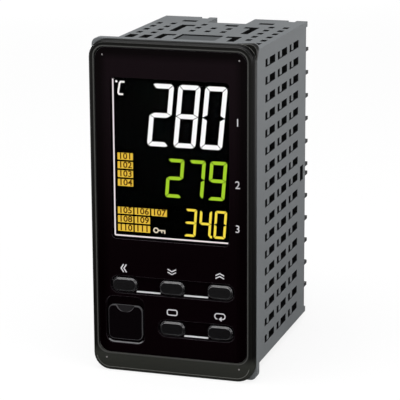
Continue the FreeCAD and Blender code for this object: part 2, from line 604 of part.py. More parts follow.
def make_terminal_block():
    full_height = span(MID_HEIGHT, 2 * BLOCK_HALF_HEIGHT)
    floor = block(span(0, 2 * COLUMN_OUTER), (BLOCK_FRONT, BLOCK_FACE), full_height)
    wall_y = (BLOCK_FRONT, WALL_REAR)
    latch_y = (CASE_REAR - LATCH_FROM_REAR - LATCH_LENGTH + LATCH_CLEARANCE,
               CASE_REAR - LATCH_FROM_REAR - LATCH_CLEARANCE)
    pieces = []
    for side in (-1, 1):
        spine_x = sorted((side * COLUMN_INNER, side * (COLUMN_INNER - SPINE_WALL)))
        wall_x = sorted((side * COLUMN_OUTER, side * (COLUMN_OUTER - BLOCK_WALL)))
        latch_x = sorted((side * COLUMN_OUTER, side * (COLUMN_OUTER + CASE_WALL / 2)))
        pieces.append(block(spine_x, wall_y, full_height))
        pieces.append(block(wall_x, wall_y, full_height))
        pieces.append(block(latch_x, latch_y, span(MID_HEIGHT, LATCH_HEIGHT - 2 * LATCH_CLEARANCE)))
        for half in (1, -1):
            end = MID_HEIGHT + half * BLOCK_HALF_HEIGHT
            end_x = sorted((side * (COLUMN_INNER - SPINE_WALL), side * COLUMN_OUTER))
            pieces.append(block(end_x, wall_y, sorted((end, end - half * BLOCK_WALL))))
            for i in range(GROUP_SIZE):
                offset = TERMINAL_GROUP_GAP / 2 + i * TERMINAL_PITCH
                pieces.append(barrier(side, MID_HEIGHT + half * offset))
    cuts = []
    for side, x, z in terminal_centres():
        slot_x = sorted((leg_end(side, x) - side * FIT_CLEARANCE, x + side * (SCREW_RADIUS + SLOT_CLEARANCE)))
        cuts.append(block(slot_x, (BLOCK_FRONT, BLOCK_FACE), span(z, LEG_WIDTH + 2 * SLOT_CLEARANCE)))
    return floor.fuse(pieces).removeSplitter().cut(cuts)


def make_terminal_plates():
    solids = []
    for side, x, z in terminal_centres():
        flat = block(span(x, PLATE_LENGTH), (BLOCK_FACE, WASHER_SEAT), span(z, PLATE_WIDTH))
        leg_x = sorted((leg_end(side, x), leg_end(side, x) + side * PLATE_THICKNESS))
        leg = block(leg_x, (REAR_BOARD_REAR, BLOCK_FACE), span(z, LEG_WIDTH))
        hole = prism(SCREW_SIDES, SCREW_RADIUS + SCREW_CLEARANCE, (BLOCK_FACE, WASHER_SEAT), x, z)
        solids.append(flat.fuse(leg).removeSplitter().cut(hole))
    return Part.makeCompound(solids)


def make_terminal_screws():
    """The screws, each with the square washer that is captive under its head."""
    solids = []
    for _, x, z in terminal_centres():
        head = prism(SCREW_HEAD_SIDES, SCREW_HEAD_RADIUS, (HEAD_SEAT, HEAD_SEAT + SCREW_HEAD_HEIGHT), x, z)
        washer = block(span(x, WASHER_SIZE), (WASHER_SEAT, HEAD_SEAT), span(z, WASHER_SIZE))
        shank = prism(SCREW_SIDES, SCREW_RADIUS, (SCREW_END, WASHER_SEAT), x, z)
        solids.append(head.fuse([washer, shank]))
    return Part.makeCompound(solids)


# Boards: one across the front and the back, and one along each side between them

def make_terminal_board():
    height = BORE_HEIGHT - 2 * SIDE_BOARD_MARGIN
    return block(span(0, BORE_WIDTH - 2 * SIDE_BOARD_MARGIN), (REAR_BOARD_FRONT, REAR_BOARD_REAR),
                 span(MID_HEIGHT, height))


SIDE_BOARD_FACE = BORE_WIDTH / 2 - SIDE_BOARD_TO_WALL - BOARD_THICKNESS


def make_side_board(side):
    y = (FRONT_BOARD_REAR + SIDE_BOARD_LEAD, REAR_BOARD_FRONT - BOARD_GAP)
    x = sorted((side * SIDE_BOARD_FACE, side * (SIDE_BOARD_FACE + BOARD_THICKNESS)))
    return block(x, y, span(MID_HEIGHT, BORE_HEIGHT - 2 * SIDE_BOARD_MARGIN))


def on_board(side, height, y, z):
    """A block that stands on a side board's inner face."""
    return block(sorted((side * SIDE_BOARD_FACE, side * (SIDE_BOARD_FACE - height))), y, z)


BOARD_MID_DEPTH = (FRONT_BOARD_REAR + REAR_BOARD_FRONT) / 2


def make_transformer_core():
    z = MID_HEIGHT + BORE_HEIGHT / 4
    core = on_board(-1, CORE_HEIGHT, span(BOARD_MID_DEPTH, CORE_LENGTH), span(z, CORE_WIDTH))
    window_x = (CORE_YOKE - SIDE_BOARD_FACE, CORE_HEIGHT - CORE_YOKE - SIDE_BOARD_FACE)
    windows = block(window_x, span(BOARD_MID_DEPTH, CORE_LENGTH - 2 * CORE_YOKE), span(z, CORE_WIDTH))
    middle_leg = block(window_x, span(BOARD_MID_DEPTH, 2 * CORE_YOKE), span(z, CORE_WIDTH))
    return core.cut(windows.cut(middle_leg))


def make_transformer_coil():
    z = MID_HEIGHT + BORE_HEIGHT / 4
    inset = CORE_YOKE + FIT_CLEARANCE
    x = (inset - SIDE_BOARD_FACE, CORE_HEIGHT - inset - SIDE_BOARD_FACE)
    length = CORE_LENGTH - 2 * CORE_YOKE - 2 * FIT_CLEARANCE
    coil = block(x, span(BOARD_MID_DEPTH, length), span(z, CORE_WIDTH + 2 * COIL_BULGE))
    bobbin_hole = span(BOARD_MID_DEPTH, 2 * CORE_YOKE + 2 * FIT_CLEARANCE)
    return coil.cut(block(x, bobbin_hole, span(z, CORE_WIDTH + 2 * FIT_CLEARANCE)))


def make_relay(z):
    return on_board(1, RELAY_HEIGHT, span(BOARD_MID_DEPTH, RELAY_LENGTH), span(z, RELAY_WIDTH))


def make_capacitor(z):
    foot = FreeCAD.Vector(-SIDE_BOARD_FACE, BOARD_MID_DEPTH, z)
    return Part.makeCylinder(CAPACITOR_RADIUS, CAPACITOR_LENGTH, foot, FreeCAD.Vector(1, 0, 0))


def make_processor():
    z = MID_HEIGHT + BORE_HEIGHT / 4
    return on_board(1, CHIP_THICKNESS, span(BOARD_MID_DEPTH, CHIP_SIZE), span(z, CHIP_SIZE))


def make_header(side):
    """The plug strip between a side board's front edge and the display board."""
    x = sorted((side * SIDE_BOARD_FACE, side * (SIDE_BOARD_FACE - HEADER_WIDTH)))
    return block(x, (FRONT_BOARD_REAR, FRONT_BOARD_REAR + HEADER_DEPTH), span(MID_HEIGHT, HEADER_LENGTH))


parts = {
    "front_bezel": make_bezel(),
    "front_seal": make_seal(),
    "fascia": make_fascia(),
    "display_window": make_window(),
    "display_panel": make_display_panel(),
    "light_guide": make_light_guide(),
    "display_frame": make_display_frame(),
    "display_board": make_display_board(),
    "key_mat": make_key_mat(),
    "port_cover": make_port_cover(),
    "port_socket": make_port_socket(),
    "rear_case": make_case(),
    "terminal_block": make_terminal_block(),
    "terminal_plates": make_terminal_plates(),
    "terminal_screws": make_terminal_screws(),
    "terminal_board": make_terminal_board(),
    "power_board": make_side_board(-1),
    "main_board": make_side_board(1),
    "transformer_core": make_transformer_core(),
    "transformer_coil": make_transformer_coil(),
    "control_relay": make_relay(MID_HEIGHT - BORE_HEIGHT / 8),
    "alarm_relay": make_relay(MID_HEIGHT - BORE_HEIGHT * 3 / 8),
    "input_capacitor": make_capacitor(MID_HEIGHT + BORE_HEIGHT / 24),
    "output_capacitor": make_capacitor(MID_HEIGHT - BORE_HEIGHT / 4),
    "processor": make_processor(),
    "power_header": make_header(-1),
    "main_header": make_header(1),
}
for key_name, key_place in KEY_PLACES.items():
    parts[key_name] = make_key(key_place)

for name, shape in parts.items():
    shape.translate(FreeCAD.Vector(0, -OVERALL_DEPTH / 2, 0))
    shape.exportStep("parts/" + name + ".step")
    print(name, len(shape.Solids), round(shape.Volume, 3), shape.isValid())
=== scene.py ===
"""Looks of a panel-mounted temperature controller: a gloss black front with a lit display and five keys, a
grey moulded case with vents on four sides, and two columns of screw terminals at the back."""
import math

import bmesh
import bpy
from mathutils import Matrix, Vector


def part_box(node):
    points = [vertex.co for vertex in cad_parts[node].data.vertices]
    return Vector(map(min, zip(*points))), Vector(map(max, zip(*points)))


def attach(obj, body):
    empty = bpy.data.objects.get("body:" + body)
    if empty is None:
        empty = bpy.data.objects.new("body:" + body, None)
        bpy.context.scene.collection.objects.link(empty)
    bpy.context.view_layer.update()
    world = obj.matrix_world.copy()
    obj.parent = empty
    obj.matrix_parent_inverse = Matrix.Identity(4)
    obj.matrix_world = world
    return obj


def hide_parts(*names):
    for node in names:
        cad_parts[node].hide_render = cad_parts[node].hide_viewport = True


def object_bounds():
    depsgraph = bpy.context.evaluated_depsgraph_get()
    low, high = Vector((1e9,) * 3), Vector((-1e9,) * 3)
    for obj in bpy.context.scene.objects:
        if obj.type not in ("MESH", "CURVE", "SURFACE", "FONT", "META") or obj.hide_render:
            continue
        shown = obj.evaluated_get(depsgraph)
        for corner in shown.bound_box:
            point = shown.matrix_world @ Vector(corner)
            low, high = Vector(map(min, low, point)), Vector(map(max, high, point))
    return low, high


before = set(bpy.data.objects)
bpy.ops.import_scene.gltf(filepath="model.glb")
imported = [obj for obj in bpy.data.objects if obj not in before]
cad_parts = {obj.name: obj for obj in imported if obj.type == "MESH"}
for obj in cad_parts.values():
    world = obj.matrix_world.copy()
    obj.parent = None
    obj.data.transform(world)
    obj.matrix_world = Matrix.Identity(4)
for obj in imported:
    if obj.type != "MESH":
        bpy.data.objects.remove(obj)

cad_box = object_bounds()
MM = 0.001


# Rear case and flange
# One moulding in mid-grey ABS, with a fine spark-eroded grain on the outside and every vent and slot moulded
# through its walls. The flange is the part that the panel clamps.

class Socket:
    """One output of a shader node. An expression on such values adds its Math nodes to the same material."""

    # A Mix node names its numbers and its colours alike, so its colours are reached by their places.
    FIRST_COLOUR, SECOND_COLOUR, MIXED_COLOUR = 6, 7, 2

    def __init__(self, tree, output=None):
        self.tree, self.output = tree, output

    def node(self, kind, settings=(), sockets=(), output=0):
        """Adds a node with these settings and these values or links, and gives one of its outputs."""
        made = self.tree.nodes.new(kind)
        for name, value in dict(settings).items():
            setattr(made, name, value)
        for name, value in dict(sockets).items():
            if isinstance(value, Socket):
                self.tree.links.new(value.output, made.inputs[name])
            else:
                made.inputs[name].default_value = value
        return Socket(self.tree, made.outputs[output] if made.outputs else None)

    def math(self, operation, *values):
        """The result of a Math node with this operation."""
        return self.node("ShaderNodeMath", {"operation": operation}, enumerate(values))

    def __add__(self, other):
        return self.math("ADD", self, other)

    def __sub__(self, other):
        return self.math("SUBTRACT", self, other)

    def __rsub__(self, other):
        return self.math("SUBTRACT", other, self)

    def __mul__(self, other):
        return self.math("MULTIPLY", self, other)

    def __gt__(self, other):
        return self.math("GREATER_THAN", self, other)

    def __lt__(self, other):
        return self.math("LESS_THAN", self, other)

    def __abs__(self):
        return self.math("ABSOLUTE", self)

    __radd__, __rmul__ = __add__, __mul__

    def noise(self, size):
        """Noise with grains of about this many millimetres."""
        return self.node("ShaderNodeTexNoise", {}, {"Vector": self, "Scale": 1 / (size * MM), "Detail": 2.0})

    def clamped(self):
        """This value held between 0 and 1."""
        return self.node("ShaderNodeClamp", {}, {"Value": self})

    def split(self):
        """The three parts of a vector."""
        parts = self.node("ShaderNodeSeparateXYZ", {}, {"Vector": self}).output.node.outputs
        return [Socket(self.tree, part) for part in parts]

    def blend(self, first, second):
        """A colour that goes from the first to the second as this value goes from 0 to 1."""
        first, second = [tone if isinstance(tone, Socket) else (*tone, 1) for tone in (first, second)]
        sockets = {"Factor": self, self.FIRST_COLOUR: first, self.SECOND_COLOUR: second}
        return self.node("ShaderNodeMix", {"data_type": "RGBA"}, sockets, self.MIXED_COLOUR)


def colour(red, green, blue):
    """A colour given in sRGB, as it is seen on a screen from 0 to 255, in a shader's linear values."""
    parts = [part / 255 for part in (red, green, blue)]
    return tuple(((part + 0.055) / 1.055) ** 2.4 if part > 0.04045 else part / 12.92 for part in parts)


def new_material(name):
    """An empty material, and its object coordinates in metres."""
    material = bpy.data.materials.new(name)
    material.use_nodes = True
    material.node_tree.nodes.clear()
    return material, Socket(material.node_tree).node("ShaderNodeTexCoord", output="Object")


def surface(place, sockets):
    """Ends a material with its Principled shader."""
    shader = place.node("ShaderNodeBsdfPrincipled", {}, sockets)
    place.node("ShaderNodeOutputMaterial", {}, {"Surface": shader})


# The melt's clouds: their size in millimetres, and how far they and the grain sway the colour and the gloss.
CLOUD_SIZE, CLOUD_SWAY, GRAIN_SWAY, GLOSS_SWAY = 14.0, 1.4, 0.6, 0.12
# How strongly the painted edge highlight shows as an edge turns up, as it turns down, and whichever way it
# faces.
HIGHLIGHT_UP, HIGHLIGHT_DOWN, HIGHLIGHT_ALWAYS = 2.4, -0.8, 0.1
EDGE_SAMPLES, GRAIN_STRENGTH = 6, 0.6


def moulded(name, tint, roughness, grain=0.3, depth=0.01, edge=0.12, mottle=0.06, specular=0.5, rim=None,
            highlight_reach=3.4, sides=None, inside=None):
    """A moulded plastic: fine grain, faint cloudiness from the flow of the melt, and edges that are a little
    rounded. Grain, depth and edge are in millimetres. The rim is the colour of a painted highlight along the
    edges, most of all along those that turn up, and highlight_reach is how far it goes; sides is a colour
    painted onto faces as they turn away from the front, as painted shade and light; and inside is a mask and
    a colour of painted light and shade laid over what the mask covers."""
    material, place = new_material(name)
    grains, clouds = place.noise(grain), place.noise(CLOUD_SIZE)
    shade = (clouds - 0.5) * CLOUD_SWAY + (grains - 0.5) * GRAIN_SWAY + 0.5
    dark, light = [tuple(part * factor for part in tint) for factor in (1 - mottle, 1 + mottle)]
    tone = shade.blend(dark, light)
    soft_edge = place.node("ShaderNodeBevel", {"samples": EDGE_SAMPLES}, {"Radius": edge * MM})
    # Painted light and shade: faces take the sides colour as they turn away from the front.
    if sides:
        _, facing, _ = soft_edge.split()
        tone = (facing * facing * facing * facing).blend(sides, tone)
    # Painted highlight: a lighter colour along the edges, strongest where they turn up.
    if rim:
        flat = place.node("ShaderNodeNewGeometry", output="True Normal")
        straight = place.node("ShaderNodeVectorMath", {"operation": "DOT_PRODUCT"}, {0: soft_edge, 1: flat},
                              "Value")
        _, _, rise = soft_edge.split()
        lie = (rise * HIGHLIGHT_UP).clamped() + (rise * HIGHLIGHT_DOWN).clamped() + HIGHLIGHT_ALWAYS
        tone = ((1.0 - straight) * highlight_reach * lie).clamped().blend(tone, rim)
    # Painted light and shade: the colour laid over what the mask covers.
    if inside:
        mask, shadow = inside
        tone = mask(place).blend(tone, shadow)
    bump = place.node("ShaderNodeBump", {}, {"Strength": GRAIN_STRENGTH, "Distance": depth * MM,
                                            "Height": grains, "Normal": soft_edge})
    surface(place, {"Base Color": tone, "Roughness": roughness + (clouds - 0.5) * GLOSS_SWAY,
                    "Specular IOR Level": specular, "Normal": bump})
    return material


def dress(material, *nodes):
    """Puts a material on nodes of the frame."""
    for node in nodes:
        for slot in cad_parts[node].material_slots:
            slot.material = material


case_low, case_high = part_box("rear_case")
case_middle = (case_low.z + case_high.z) / 2
SIDE_LIP, END_LIP, FLANGE_THICKNESS, BLOCK_DEPTH, SKIN = 1.6 * MM, 2.5 * MM, 2.7 * MM, 12.0 * MM, 0.1 * MM
# Beside the block, and over and under it away from the middle, the painted interior shade reaches further
# back.
BESIDE_BLOCK, OVER_BLOCK, OFF_MIDDLE, FURTHER_BACK = 18.0 * MM, 43.0 * MM, 8.0 * MM, 10.0 * MM


def under_skin(place):
    """Where the case's interior is painted in shade: 1 within its walls and behind them, between the flange
    and the terminal block, and on past the block's sides, its top and its bottom."""
    across, along, upward = place.split()
    aside, aloft = abs(across), abs(upward - case_middle)
    outside = (aside > BESIDE_BLOCK) + (aloft > OVER_BLOCK) * (aside > OFF_MIDDLE)
    ahead = along - outside.clamped() * FURTHER_BACK
    within = (aside < case_high.x - SIDE_LIP - SKIN) * (aloft < case_high.z - case_middle - END_LIP - SKIN)
    return within * (along > case_low.y + FLANGE_THICKNESS + SKIN) * (ahead < case_high.y - BLOCK_DEPTH)


# Painted shade: every face within the walls is painted near-black for the dark interior seen through the
# vents; the rim is a painted highlight on the outer edges.
dress(moulded("case_plastic", colour(109, 112, 114), 0.55, depth=0.014, edge=0.15, specular=0.3,
              rim=colour(124, 127, 130), inside=(under_skin, colour(9, 9, 10))), "rear_case")


# Blank labels
# A dark grey foil, stuck down in the pocket of the top face and of the bottom face, with nothing printed on
# it. The moulded pockets are what hold its edges.

def rectangle(left, low, right, high):
    """The outline of an upright rectangle."""
    return [(left, low), (right, low), (right, high), (left, high)]


def slabs(name, outlines, front, depth, material):
    """Flat pieces on the housing, cut to outlines of (x, z) in millimetres, from front back by a depth."""
    mesh, shapes = bpy.data.meshes.new(name), bmesh.new()
    for points in outlines:
        near = [shapes.verts.new((x * MM, front * MM, z * MM)) for x, z in points]
        far = [shapes.verts.new((x * MM, (front + depth) * MM, z * MM)) for x, z in points]
        shapes.faces.new(near)
        shapes.faces.new(far[::-1])
        for i in range(len(points)):
            j = (i + 1) % len(points)
            shapes.faces.new((near[j], near[i], far[i], far[j]))
    bmesh.ops.recalc_face_normals(shapes, faces=shapes.faces)
    shapes.to_mesh(mesh)
    shapes.free()
    piece = bpy.data.objects.new(name, mesh)
    bpy.context.scene.collection.objects.link(piece)
    mesh.materials.append(material)
    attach(piece, "housing")


LABEL_WIDTH, LABEL_FRONT, LABEL_LENGTH, LABEL_SINK, FOIL_THICKNESS = 12.0, -13.5, 11.0, 0.5, 0.1
foil = moulded("label_foil", colour(76, 79, 81), 0.5, grain=0.4, depth=0.006, edge=0.05, specular=0.3)
label_lows = {"top_label": (case_high.z - END_LIP) / MM - LABEL_SINK,
              "bottom_label": (case_low.z + END_LIP) / MM + LABEL_SINK - FOIL_THICKNESS}
for name, low in label_lows.items():
    section = rectangle(-LABEL_WIDTH / 2, low, LABEL_WIDTH / 2, low + FOIL_THICKNESS)
    slabs(name, [section], LABEL_FRONT, LABEL_LENGTH, foil)


# Panel seal
# A flat ring of black foam rubber, die-cut, that lies between the bezel and the flange. The panel squeezes it
# when the controller is drawn up to its cut-out.

dress(moulded("seal_rubber", colour(13, 13, 13), 0.85, grain=0.2, depth=0.02, specular=0.25), "front_seal")


# Bezel
# The frame round the front, in charcoal satin plastic with a fine even grain. Its lower bar stands free below
# the fascia, and its skirt plugs into the case.

# The lower bar's painted sheen, a paler tone in place of the light it catches: where it ends at the top and
# how fast, how much it is at least, and how it grows upwards.
BAR_TOP, BAR_FADE, BAR_LEAST, BAR_GROWTH = 3.2, 0.42, 0.72, 0.05


def lower_bar(place):
    """0 above the lower bar, and a little less than 1 on it, least at its lower edge."""
    _, _, upward = place.split()
    height = upward * (1 / MM)
    return (BAR_TOP - height * BAR_FADE).clamped() * (height * BAR_GROWTH + BAR_LEAST)


# Painted: a highlight along the edges, near-black shade on faces turned away from the front, and the paler
# sheen on the lower bar.
dress(moulded("bezel_plastic", colour(14, 14, 12), 0.36, grain=0.16, depth=0.006, edge=0.2, mottle=0.05,
              specular=0.14, rim=colour(136, 136, 131), highlight_reach=4.5, sides=colour(5, 5, 5),
              inside=(lower_bar, colour(42, 43, 39))), "front_bezel")


# Fascia
# A gloss sheet, printed behind in black and cut out for the window, the keys and the setup port. The print
# hardly scatters light, so its reflections are dim. A dim warm reflection is painted into its colour within
# its border, strongest near the top.

sheet_low, sheet_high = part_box("fascia")
# How the black border ends, by the millimetre from the sheet's edge, and how the painted reflection fades by
# the millimetre down.
BORDER_RAMP, BORDER_DEPTH = 0.45, 0.6
REFLECTION_PEAK, REFLECTION_FADE, REFLECTION_LEAST = 0.75, 0.015, 0.25


def warm_black(place):
    """Where the reflection is painted: 1 near the top of the sheet, less lower down, and 0 in the border
    along its sides and its top edge.
    """
    across, _, upward = place.split()
    from_side, from_top = (sheet_high.x - abs(across)) * (1 / MM), (sheet_high.z - upward) * (1 / MM)
    beside, below = [(distance * BORDER_RAMP - BORDER_DEPTH).clamped() for distance in (from_side, from_top)]
    return beside * below * ((REFLECTION_PEAK - from_top * REFLECTION_FADE).clamped() + REFLECTION_LEAST)


# Painted reflection on the upper sheet, and a painted highlight along the cut-outs' edges.
dress(moulded("gloss_black", colour(3, 0, 1), 0.1, grain=0.6, depth=0.0005, edge=0.14, mottle=0.02,
              specular=0.035, rim=colour(118, 112, 118), inside=(warm_black, colour(15, 7, 11))), "fascia")


# Display
# A negative liquid crystal panel behind a clear pane: black, with lit white, lime and yellow figures and
# amber blocks. The pane is coated against reflections.

PANE_VEIL, VEIL_SWAY, VEIL_SIZE = 0.04, 0.02, 20.0
pane, place = new_material("clear_pane")
surface(place, {"Base Color": (0, 0, 0, 1), "Roughness": 0.04, "Specular IOR Level": 0.2,
                "Alpha": PANE_VEIL + place.noise(VEIL_SIZE) * VEIL_SWAY})
dress(pane, "display_window")
dress(moulded("panel_black", colour(0, 0, 0), 0.5, mottle=0.0, specular=0.0), "display_panel")
dress(moulded("diffuser_white", colour(225, 226, 220), 0.6, specular=0.3), "light_guide")
dress(moulded("frame_black", colour(26, 26, 27), 0.6), "display_frame")

pane_low, pane_high = [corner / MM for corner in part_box("display_window")]
panel_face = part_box("display_panel")[0].y / MM
GLOW_DEPTH, GLOW_STRENGTH, GLOW_LEAST, GLOW_GRAIN = 0.03, 1.12, 0.96, 0.5
glow_face = panel_face - GLOW_DEPTH


def glowing(name, tint):
    """A colour that shines by itself, a shade uneven like a lit crystal."""
    material, place = new_material(name)
    shade = place.noise(GLOW_GRAIN).blend([part * GLOW_LEAST for part in tint], tint)
    surface(place, {"Base Color": (0, 0, 0, 1), "Emission Color": shade, "Emission Strength": GLOW_STRENGTH,
                    "Specular IOR Level": 0.0, "Roughness": 0.6})
    return material


def lit(name, outlines, material):
    """Flat shapes that shine on the face of the liquid crystal panel."""
    slabs(name, outlines, glow_face, GLOW_DEPTH, material)


def on_pane(right, down):
    """A place on the front, in millimetres from the pane's top left corner."""
    return pane_low.x + right, pane_high.z - down


def block_on_pane(left, top, right, bottom):
    """The outline of a rectangle on the pane, measured like on_pane."""
    return rectangle(*on_pane(left, bottom), *on_pane(right, top))


def disc(x, z, radius, sides=16):
    """The outline of a round spot."""
    turns = [2 * math.pi * i / sides for i in range(sides)]
    return [(x + radius * math.cos(turn), z + radius * math.sin(turn)) for turn in turns]


MITRE_LIMIT = 0.5


def strokes(points, width, closed=False):
    """The outlines of a line of this width along a path of places, mitred at each bend."""
    points = [Vector(point) for point in points]
    steps = [(b - a).normalized() for a, b in zip(points, points[1:] + points[:1])]
    before = [steps[-1] if closed else steps[0]] + steps[:-1]
    after = steps if closed else steps[:-1] + steps[-2:-1]
    edges = []
    for point, first, second in zip(points, before, after):
        across = Vector((-first.y - second.y, first.x + second.x)).normalized()
        reach = width / 2 / max(MITRE_LIMIT, across.dot(Vector((-first.y, first.x))))
        edges.append((point - across * reach, point + across * reach))
    following = edges[1:] + edges[:1] if closed else edges[1:]
    return [[tuple(corner) for corner in (a, c, d, b)] for (a, b), (c, d) in zip(edges, following)]


SEGMENTS_OF = {"0": "abcdef", "2": "abged", "3": "abgcd", "4": "fgbc", "7": "abc", "8": "abcdefg",
               "9": "abcdfg"}
# Shares of a segment's stroke: the bevel of a figure's corners, the cut and the point of its segments' ends,
# and what the gap between two of them grows by.
CORNER_EASE, END_CUT, END_TIP, LEAST_GAP, GAP_SHARE = 0.8, 0.28, 0.1, 0.05, 0.06


def digit(figure, left, bottom, width, height, stroke, slant):
    """The outlines of a seven-segment figure, mitred at its corners and leaning to the right."""
    w, h, t, middle, half = width, height, stroke, height / 2, stroke / 2
    ease, tip, gap = stroke * CORNER_EASE, stroke * END_TIP, LEAST_GAP + stroke * GAP_SHARE
    cut = ease * END_CUT
    upper = [(ease, h), (w - ease, h), (w - cut - gap, h - cut), (w - t - gap, h - t), (t + gap, h - t),
             (cut + gap, h - cut)]
    right = [(w, h - ease), (w - cut, h - cut - gap), (w - t, h - t - gap), (w - t, middle + half + gap),
             (w - tip, middle + gap), (w, middle + gap + tip)]
    centre = [(tip + gap, middle), (t + gap, middle + half), (w - t - gap, middle + half),
              (w - tip - gap, middle), (w - t - gap, middle - half), (t + gap, middle - half)]
    shapes = {"a": upper, "d": [(x, h - z) for x, z in upper], "g": centre,
              "b": right, "c": [(x, h - z) for x, z in right],
              "f": [(w - x, z) for x, z in right], "e": [(w - x, h - z) for x, z in right]}
    x0, z0 = on_pane(left, bottom)
    return [[(x0 + x + slant * z / h, z0 + z) for x, z in shapes[name]] for name in SEGMENTS_OF[figure]]


def lit_row(name, figures, tint, left, pitch, extra=(), **sizes):
    """A row of figures, a pitch apart from left, and any other shapes of the same colour."""
    outlines = []
    for i, figure in enumerate(figures):
        outlines += digit(figure, left + i * pitch, **sizes)
    lit(name, outlines + list(extra), glowing(name + "_glow", tint))


lit_row("process_value", "280", colour(252, 252, 252), left=10.35, pitch=7.7, bottom=18.95, width=6.4,
        height=17.7, stroke=1.3, slant=1.75)
lit_row("set_value", "279", colour(164, 206, 46), left=15.5, pitch=6.2, bottom=33.3, width=4.9,
        height=11.1, stroke=0.95, slant=0.95)
decimal_point = block_on_pane(28.6, 43.5, 29.2, 44.2)
lit_row("output_value", "340", colour(246, 220, 74), left=20.9, pitch=4.35, bottom=44.2, width=3.45,
        height=8.0, stroke=0.68, slant=0.6, extra=[decimal_point])

# Amber blocks: a column of four beside the second row of figures, and three rows beside the third.
BLOCK_WIDTH, BLOCK_HEIGHT, BLOCK_ROW, BLOCK_COLUMN = 4.55, 1.98, 2.52, 5.0
COLUMN_LEFT, COLUMN_TOP, COLUMN_COUNT = 1.6, 21.4, 4
ROWS_LEFT, ROWS_TOP, ROW_COUNTS = 1.45, 37.0, (3, 2, 2)
blocks = [(COLUMN_LEFT, COLUMN_TOP + row * BLOCK_ROW) for row in range(COLUMN_COUNT)]
blocks += [(ROWS_LEFT + column * BLOCK_COLUMN, ROWS_TOP + row * BLOCK_ROW)
           for row, count in enumerate(ROW_COUNTS) for column in range(count)]
lit("indicator_blocks",
    [block_on_pane(left, top, left + BLOCK_WIDTH, top + BLOCK_HEIGHT) for left, top in blocks],
    glowing("amber_glow", colour(228, 188, 64)))

LETTER_DEPTH, CURVE_STEPS = 0.004, 3


def lettering(name, text, x, z, size, front, material, stretch=1.0, bold=0.0):
    """Letters on the housing, centred on a place on the front and facing forwards."""
    words = bpy.data.curves.new(name, "FONT")
    words.body, words.size = text, size * MM
    words.align_x, words.align_y = "CENTER", "CENTER"
    words.extrude, words.offset, words.resolution_u = LETTER_DEPTH * MM, bold * MM, CURVE_STEPS
    piece = bpy.data.objects.new(name, words)
    bpy.context.scene.collection.objects.link(piece)
    upright = Matrix.Rotation(math.pi / 2, 4, "X") @ Matrix.Diagonal((stretch, 1, 1, 1))
    piece.matrix_world = Matrix.Translation(Vector((x, front, z)) * MM) @ upright
    words.materials.append(material)
    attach(piece, "housing")


FIRST_NUMBER, NUMBER_SIZE, NUMBER_STRETCH, NUMBER_BOLD, NUMBER_PROUD = 101, 2.45, 1.1, 0.05, 0.01
amber_ink = glowing("amber_ink", colour(74, 42, 8))
for number, (left, top) in enumerate(blocks, FIRST_NUMBER):
    x, z = on_pane(left + BLOCK_WIDTH / 2, top + BLOCK_HEIGHT / 2)
    lettering("block_%d" % number, str(number), x, z, NUMBER_SIZE, glow_face - NUMBER_PROUD, amber_ink,
              NUMBER_STRETCH, NUMBER_BOLD)

# The unit mark: a hooked letter in one stroke, with a spot before it.
UNIT_LINE, SPOT_RADIUS = 0.52, 0.33
hook = [on_pane(*point)
        for point in ((4.0, 1.25), (2.9, 1.25), (2.55, 1.65), (2.1, 4.3), (2.35, 4.75), (3.55, 4.75))]
lit("unit_mark", strokes(hook, UNIT_LINE) + [disc(*on_pane(1.6, 1.2), SPOT_RADIUS)],
    glowing("white_glow", colour(244, 240, 238)))

# The lock sign: a key with a round bow, a stem and two bits.
BOW_RADIUS, BOW_LINE = 0.65, 0.34
lock_key = strokes(disc(*on_pane(12.75, 43.1), BOW_RADIUS), BOW_LINE, closed=True)
lock_key += [block_on_pane(13.5, 42.9, 15.5, 43.25), block_on_pane(14.3, 43.25, 14.6, 43.8),
             block_on_pane(15.15, 43.25, 15.5, 43.95)]
lit("lock_sign", lock_key, glowing("lock_glow", colour(226, 214, 190)))

# The line down the display's left side and along its bottom, eased where it turns.
LINE_LEFT, LINE_TOP, LINE_RIGHT, LINE_BOTTOM, LINE_WIDTH, LINE_EASE = 0.35, 0.5, 33.9, 45.5, 0.4, 0.35
display_line = [(LINE_LEFT, LINE_TOP), (LINE_LEFT, LINE_BOTTOM - LINE_EASE),
                (LINE_LEFT + LINE_EASE, LINE_BOTTOM), (LINE_RIGHT, LINE_BOTTOM),
                (LINE_RIGHT, LINE_BOTTOM - LINE_WIDTH),
                (LINE_LEFT + LINE_WIDTH, LINE_BOTTOM - LINE_WIDTH), (LINE_LEFT + LINE_WIDTH, LINE_TOP)]
lit("display_line", [[on_pane(*point) for point in display_line]],
    glowing("line_glow", colour(238, 228, 230)))


# Print on the fascia
# Light grey legends, screen-printed on the gloss face: a number for each of the three rows of figures, and a
# sign for each key. Two small moulded pips stand at the top corners, and two more on the bezel's lower bar.

bezel_low, bezel_high = [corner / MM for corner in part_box("front_bezel")]
fascia_face = sheet_low.y / MM
INK_DEPTH = 0.02
ink_face = fascia_face - INK_DEPTH
ink = moulded("grey_ink", colour(196, 194, 198), 0.6, grain=0.1, depth=0.002, edge=0.01, specular=0.2)
LEGEND_RIGHT, LEGEND_DOWNS, LEGEND_SIZE = 36.9, (10.9, 28.4, 40.9), 3.1
for number, down in enumerate(LEGEND_DOWNS, 1):
    x, z = on_pane(LEGEND_RIGHT, down)
    lettering("row_number_%d" % number, str(number), x, z, LEGEND_SIZE, ink_face, ink)


def key_middle(node):
    """The middle of a key, across and upwards in millimetres."""
    low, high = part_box(node)
    middle = (low + high) / 2 / MM
    return middle.x, middle.z


